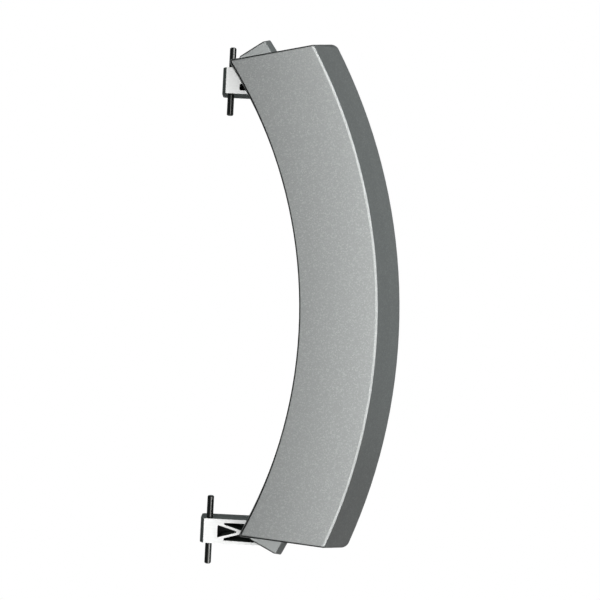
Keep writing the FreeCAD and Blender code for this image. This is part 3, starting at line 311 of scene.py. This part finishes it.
# Real flakes are 0.02 mm wide. Clusters of 0.4 mm are drawn, so that they show. The fourth
# power leaves few of them bright. Clouds of paint are about 1 mm wide.
flakes = add_node(tree, "ShaderNodeTexVoronoi", {"feature": "F1"}, {
    "Vector": millimetres, "Scale": 2.3,
})
tone = add_node(tree, "ShaderNodeSeparateColor", {}, {"Color": flakes.outputs["Color"]})
sparkle = add_node(tree, "ShaderNodeMath", {"operation": "POWER"}, {
    0: tone.outputs["Red"], 1: 4.0,
})
cloud = add_node(tree, "ShaderNodeTexNoise", {}, {
    "Vector": millimetres, "Scale": 1.1, "Detail": 4.0, "Roughness": 0.75,
})
mixed = add_node(tree, "ShaderNodeMath", {"operation": "MULTIPLY_ADD"}, {
    0: cloud.outputs["Fac"], 1: CLOUD_SHARE, 2: sparkle.outputs["Value"],
})
paint = add_node(tree, "ShaderNodeMix", {"data_type": "RGBA"}, {
    "Factor": mixed.outputs["Value"], "A": shade("#929493"), "B": shade("#A4A6A5"),
})
from_centre = bow_radius(tree, millimetres)
from_arc = add_node(tree, "ShaderNodeMath", {"operation": "SUBTRACT"}, {
    0: from_centre, 1: FACE_INNER,
})
# Painted shade: a dark line along the inner edge and the ends of the face.
edges = [from_arc.outputs["Value"]]
edges += [end_distance(tree, millimetres, *end) for end in FACE_ENDS]
edged = add_node(tree, "ShaderNodeMix", {"data_type": "RGBA"}, {
    "Factor": painted_edge_shade(tree, millimetres, edges, FACE_LEVEL),
    "A": paint.outputs["Result"], "B": shade(EDGE_SHADE),
})
# The bare inside is dull grey, with the grain of a spark eroded die, drawn 0.6 mm wide.
grain = add_node(tree, "ShaderNodeTexNoise", {}, {
    "Vector": millimetres, "Scale": 1.6, "Detail": 4.0, "Roughness": 0.7,
})
plastic = add_node(tree, "ShaderNodeMix", {"data_type": "RGBA"}, {
    "Factor": grain.outputs["Fac"], "A": shade("#585B5A"), "B": shade("#7C7F7E"),
})
inside = bare_inside(tree)
colour = add_node(tree, "ShaderNodeMix", {"data_type": "RGBA"}, {
    "Factor": inside, "A": edged.outputs["Result"], "B": plastic.outputs["Result"],
})
flakes_shown = add_node(tree, "ShaderNodeMapRange", {}, {
    "Value": inside, "To Min": FLAKE_SHARE, "To Max": 0.0,
})
gloss = add_node(tree, "ShaderNodeMapRange", {}, {
    "Value": tone.outputs["Green"], "To Min": 0.40, "To Max": 0.48,
})
# The crown turns the face towards the right, so that it is brightest along the ridge.
across = add_node(tree, "ShaderNodeMapRange", {}, {
    "Value": from_centre, "From Min": FACE_INNER, "From Max": FACE_OUTER,
})
square = add_node(tree, "ShaderNodeMath", {"operation": "POWER"}, {
    0: across.outputs["Result"], 1: 2.0,
})
grained = add_node(tree, "ShaderNodeMath", {"operation": "MULTIPLY"}, {
    0: mixed.outputs["Value"], 1: GRAIN_HEIGHT,
})
height = add_node(tree, "ShaderNodeMath", {"operation": "MULTIPLY_ADD"}, {
    0: square.outputs["Value"], 1: -CROWN, 2: grained.outputs["Value"],
})
relief = add_node(tree, "ShaderNodeBump", {}, {
    "Height": height.outputs["Value"], "Strength": 1.0, "Distance": 0.001,
})
surface = add_node(tree, "ShaderNodeBsdfPrincipled", {}, {
    "Base Color": colour.outputs["Result"], "Metallic": flakes_shown.outputs["Result"],
    "Roughness": gloss.outputs["Result"], "Specular Tint": shade(LACQUER),
    "Normal": relief.outputs["Normal"],
})
add_node(tree, "ShaderNodeOutputMaterial", {}, {"Surface": surface.outputs["BSDF"]})
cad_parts["front_cover"].material_slots[0].material = cover_paint


# Clamp screws.
# Four self-tapping screws of zinc plated steel with rounded heads and cross recesses. They
# go in from behind, through the casting and the rail, and cut their thread in the cover.
SCREWS = 4
SCREW_CORE, SCREW_CREST, SCREW_SHANK = 1.2, 1.45, 1.5   # mm, radii
SCREW_PITCH = 1.1     # mm
THREAD_FOOT = 0.34    # of the pitch, half the width of the thread at the core
END_CUT = 0.25        # mm, taken off the core at both ends of the thread
RINGS_PER_TURN = 7
RUN_IN, RUN_OUT = 10, 6          # rings over which the thread grows, and dies away
CONE_START, CONE_END = 0.1, 0.35   # mm past the thread, where the core widens to the shank
PLAIN_LENGTH = 2.6    # mm, from the thread to the head
HEAD_HEIGHT = 2.1     # mm
HEAD_SIDE = 0.7       # mm, straight side of the head
HEAD_ROUNDING = 2.6   # power: 2 would be an ellipse, and more is flatter on top
HEAD_RINGS = 25
RECESS_REACH = 1.75   # mm, from the middle of the head to the end of a slot
SLOT_HALF, SLOT_TAPER = 0.42, 0.12   # mm at the middle, and mm lost for each mm outwards
SLOT_DEPTH, SLOT_RISE = 1.35, 0.9    # mm, and the length over which the floor rises
PIT_DEPTH, PIT_RADIUS = 1.45, 0.75   # mm
POINTS = 64           # round each ring
ANGLES = [2 * math.pi * k / POINTS for k in range(POINTS)]

# Zinc plating is a cool, bright grey with soft blotches about 1 mm wide.
zinc_plate, tree = finish_of("zinc_plated_steel")
blotches = add_node(tree, "ShaderNodeTexNoise", {}, {
    "Vector": part_millimetres(tree), "Scale": 0.9, "Detail": 3.0, "Roughness": 0.6,
})
colour = add_node(tree, "ShaderNodeMix", {"data_type": "RGBA"}, {
    "Factor": blotches.outputs["Fac"], "A": shade("#A9ADAE"), "B": shade("#C8CBC9"),
})
surface = add_node(tree, "ShaderNodeBsdfPrincipled", {}, {
    "Base Color": colour.outputs["Result"], "Metallic": 1.0, "Roughness": 0.32,
})
add_node(tree, "ShaderNodeOutputMaterial", {}, {"Surface": surface.outputs["BSDF"]})


def thread_radius(angle, level, fade):
    """Radius of the thread, in mm. It is full where fade is 1, and gone where it is 0."""
    turn = (level / SCREW_PITCH - angle / (2 * math.pi)) % 1.0
    rise = max(0.0, 1.0 - abs(turn - 0.5) / THREAD_FOOT)
    cut = END_CUT * (1 - fade)
    return SCREW_CORE - cut + (SCREW_CREST - SCREW_CORE) * rise * fade


def recess_depth(x, z):
    """Depth of the cross recess, in mm, at a place on the head.

    Four slots taper outwards and meet in a round pit. Their walls take up the outer third
    of the half width, and the wall of the pit the outer two fifths of its radius.
    """
    aside, reach = min(abs(x), abs(z)), max(abs(x), abs(z))
    slot = max(0.0, 1.0 - aside / (SLOT_HALF - SLOT_TAPER * reach))
    pit = max(0.0, 1.0 - math.hypot(x, z) / PIT_RADIUS)
    along = max(0.0, min(1.0, (RECESS_REACH - reach) / SLOT_RISE))
    return max(SLOT_DEPTH * min(1.0, 3.0 * slot) * along, PIT_DEPTH * min(1.0, 2.5 * pit))


def skin_rings(mesh, rings):
    """Joins rings of points with quads, and closes both ends with a fan."""
    for near, far in zip(rings, rings[1:]):
        for i in range(len(near)):
            j = (i + 1) % len(near)
            mesh.faces.new((near[i], near[j], far[j], far[i]))
    for ring, turned in ((rings[0], True), (rings[-1], False)):
        centre = mesh.verts.new(sum((v.co for v in ring), Vector()) / len(ring))
        for i in range(len(ring)):
            j = (i + 1) % len(ring)
            mesh.faces.new((centre, ring[j], ring[i]) if turned else (centre, ring[i], ring[j]))


for number in range(1, SCREWS + 1):
    node = f"clamp_screw_{number}"
    low, high = (Vector(corner) * 1000 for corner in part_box(node))
    axis_x, axis_z = (low.x + high.x) / 2, (low.z + high.z) / 2
    head_radius = (high.x - low.x) / 2
    seat = high.y - HEAD_HEIGHT

    # One radius and one level for each angle of each ring, from the blunt end up the thread.
    outline = []
    thread_end = seat - PLAIN_LENGTH
    steps = int((thread_end - low.y) / (SCREW_PITCH / RINGS_PER_TURN))
    for step in range(steps + 1):
        level = low.y + (thread_end - low.y) * step / steps
        fade = min(1.0, step / RUN_IN, (steps - step) / RUN_OUT)
        outline.append([(thread_radius(angle, level, fade), level) for angle in ANGLES])
    # Plain shank, and the flat underside and straight side of the head.
    for radius, level in (
        (SCREW_CORE, thread_end + CONE_START), (SCREW_SHANK, thread_end + CONE_END),
        (SCREW_SHANK, seat), (head_radius, seat), (head_radius, seat + HEAD_SIDE),
    ):
        outline.append([(radius, level)] * len(ANGLES))
    # Rounded top of the head, with the cross recess sunk in. Each ring is 0.02 mm wider than
    # its share of the head, and a fan closes the last one.
    for step in range(1, HEAD_RINGS):
        radius = head_radius * (1 - step / HEAD_RINGS) + 0.02
        rounding = math.sqrt(max(0.0, 1 - (radius / head_radius) ** HEAD_ROUNDING))
        top = seat + HEAD_SIDE + (HEAD_HEIGHT - HEAD_SIDE) * rounding
        outline.append([
            (radius, top - recess_depth(radius * math.cos(angle), radius * math.sin(angle)))
            for angle in ANGLES
        ])

    mesh = bmesh.new()
    skin_rings(mesh, [
        [
            mesh.verts.new((
                axis_x + radius * math.cos(angle), level, axis_z + radius * math.sin(angle),
            ))
            for angle, (radius, level) in zip(ANGLES, ring)
        ]
        for ring in outline
    ])
    mesh.transform(Matrix.Scale(0.001, 4))
    bmesh.ops.recalc_face_normals(mesh, faces=mesh.faces)
    data = bpy.data.meshes.new(f"screw_{number}")
    mesh.to_mesh(data)
    mesh.free()
    data.shade_smooth()
    screw = bpy.data.objects.new(f"screw_{number}", data)
    bpy.context.scene.collection.objects.link(screw)
    data.materials.append(zinc_plate)
    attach(screw, "root")
    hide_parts(node)


# Stand, light and camera.
# The handle is shown upright over a plain pale floor, as the door holds it. Two tall soft
# lamps stand in front and at the right. Two fills, at the left and behind, mirror nowhere.
FLOOR_RADIUS = 3.0    # m
FLOOR_DROP = 0.8      # m, below the part
PART_MIDDLE = Vector((0.036, -0.005, 0.111))   # m
LAMP_REACH = 0.9      # m, from the middle of the part
CAMERA_PLACE = (0.03599, -0.5, 0.1116)         # m
FOCAL_LENGTH = 66.0   # mm, with a sensor 36 mm wide
ROLL = 2.87           # degrees, hinge line off upright in the photograph
LAMPS = (
    # name, degrees from the front, lift, size in m, power in W, mirrored by the part
    ("left_fill", -26, 0.25, (0.40, 0.8), 11.0, False),
    ("front_softbox", 15, 0.07, (0.30, 2.0), 3.95, True),
    ("right_softbox", 43, 0.07, (0.20, 2.0), 9.8, True),
    ("rear_fill", 170, 0.0, (0.60, 1.0), 20.0, False),
)


def seen_plainly(tree, rays):
    """1 for rays that come from the camera, straight or through something clear."""
    return add_node(tree, "ShaderNodeMath", {"operation": "MAXIMUM"}, {
        0: rays.outputs["Is Camera Ray"], 1: rays.outputs["Is Transmission Ray"],
    }).outputs["Value"]


# Matt studio paint, which the camera sees white. The part gets only its grey light.
floor_paint, tree = finish_of("pale_floor")
rays = add_node(tree, "ShaderNodeLightPath", {}, {})
matt = add_node(tree, "ShaderNodeBsdfDiffuse", {}, {"Color": shade("#8F8F8F")})
white = add_node(tree, "ShaderNodeEmission", {}, {"Color": shade("#FFFFFF"), "Strength": 1.0})
either = add_node(tree, "ShaderNodeMixShader", {}, {
    "Fac": seen_plainly(tree, rays), 1: matt.outputs["BSDF"], 2: white.outputs["Emission"],
})
add_node(tree, "ShaderNodeOutputMaterial", {}, {"Surface": either.outputs["Shader"]})
mesh = bmesh.new()
bmesh.ops.create_circle(mesh, cap_ends=True, segments=96, radius=FLOOR_RADIUS)
data = bpy.data.meshes.new("floor")
mesh.to_mesh(data)
mesh.free()
floor = bpy.data.objects.new("floor", data)
floor.location = (0.0, 0.0, cad_box[0][2] - FLOOR_DROP)
bpy.context.scene.collection.objects.link(floor)
data.materials.append(floor_paint)

# The camera sees the studio white. The paint mirrors walls that are dark at the left and
# grow lighter to the right and behind, and the room lights the back more than the front.
world = bpy.data.worlds.new("studio")
bpy.context.scene.world = world
world.use_nodes = True
tree = world.node_tree
tree.nodes.clear()
rays = add_node(tree, "ShaderNodeLightPath", {}, {})
around = add_node(tree, "ShaderNodeTexCoord", {}, {})
axes = add_node(tree, "ShaderNodeSeparateXYZ", {}, {"Vector": around.outputs["Generated"]})
right_wall = add_node(tree, "ShaderNodeMapRange", {"interpolation_type": "SMOOTHSTEP"}, {
    "Value": axes.outputs["X"], "From Min": -0.2, "From Max": 0.9,
    "To Min": 0.10, "To Max": 0.34,
})
back_wall = add_node(tree, "ShaderNodeMapRange", {"interpolation_type": "SMOOTHSTEP"}, {
    "Value": axes.outputs["Y"], "From Min": 0.3, "From Max": 0.9,
    "To Min": 0.0, "To Max": 0.35,
})
walls = add_node(tree, "ShaderNodeMath", {"operation": "MAXIMUM"}, {
    0: right_wall.outputs["Result"], 1: back_wall.outputs["Result"],
})
room = add_node(tree, "ShaderNodeMapRange", {"interpolation_type": "SMOOTHSTEP"}, {
    "Value": axes.outputs["Y"], "From Min": -0.2, "From Max": 0.8,
    "To Min": 0.25, "To Max": 0.55,
})
on_part = add_node(tree, "ShaderNodeMix", {"data_type": "FLOAT"}, {
    "Factor": rays.outputs["Is Glossy Ray"],
    "A": room.outputs["Result"], "B": walls.outputs["Value"],
})
strength = add_node(tree, "ShaderNodeMix", {"data_type": "FLOAT"}, {
    "Factor": seen_plainly(tree, rays), "A": on_part.outputs["Result"], "B": 1.0,
})
tint = add_node(tree, "ShaderNodeMix", {"data_type": "RGBA"}, {
    "Factor": rays.outputs["Is Glossy Ray"], "A": shade("#FFFFFF"), "B": shade("#EEF9FA"),
})
sky = add_node(tree, "ShaderNodeBackground", {}, {
    "Color": tint.outputs["Result"], "Strength": strength.outputs["Result"],
})
add_node(tree, "ShaderNodeOutputWorld", {}, {"Surface": sky.outputs["Background"]})

for name, angle, lift, size, power, mirrored in LAMPS:
    turn = math.radians(angle)
    lamp = bpy.data.lights.new(name, "AREA")
    lamp.shape = "RECTANGLE"
    lamp.size, lamp.size_y = size
    lamp.energy = power
    stand = bpy.data.objects.new(name, lamp)
    stand.visible_glossy = mirrored
    aim = Vector((math.sin(turn), -math.cos(turn), lift))
    stand.location = PART_MIDDLE + aim * LAMP_REACH
    stand.rotation_euler = (stand.location - PART_MIDDLE).to_track_quat("Z", "Y").to_euler()
    bpy.context.scene.collection.objects.link(stand)

# The photograph is square on to the front, from half a metre.
lens = bpy.data.cameras.new("camera")
lens.sensor_width = 36.0
lens.lens = FOCAL_LENGTH
camera = bpy.data.objects.new("camera", lens)
roll = math.radians(ROLL)
right = Vector((math.cos(roll), 0.0, math.sin(roll)))
up = Vector((-math.sin(roll), 0.0, math.cos(roll)))
turned = Matrix((right, up, right.cross(up))).transposed().to_4x4()
camera.matrix_world = Matrix.Translation(CAMERA_PLACE) @ turned
bpy.context.scene.collection.objects.link(camera)
bpy.context.scene.camera = camera
bpy.context.scene.view_settings.view_transform = "Standard"
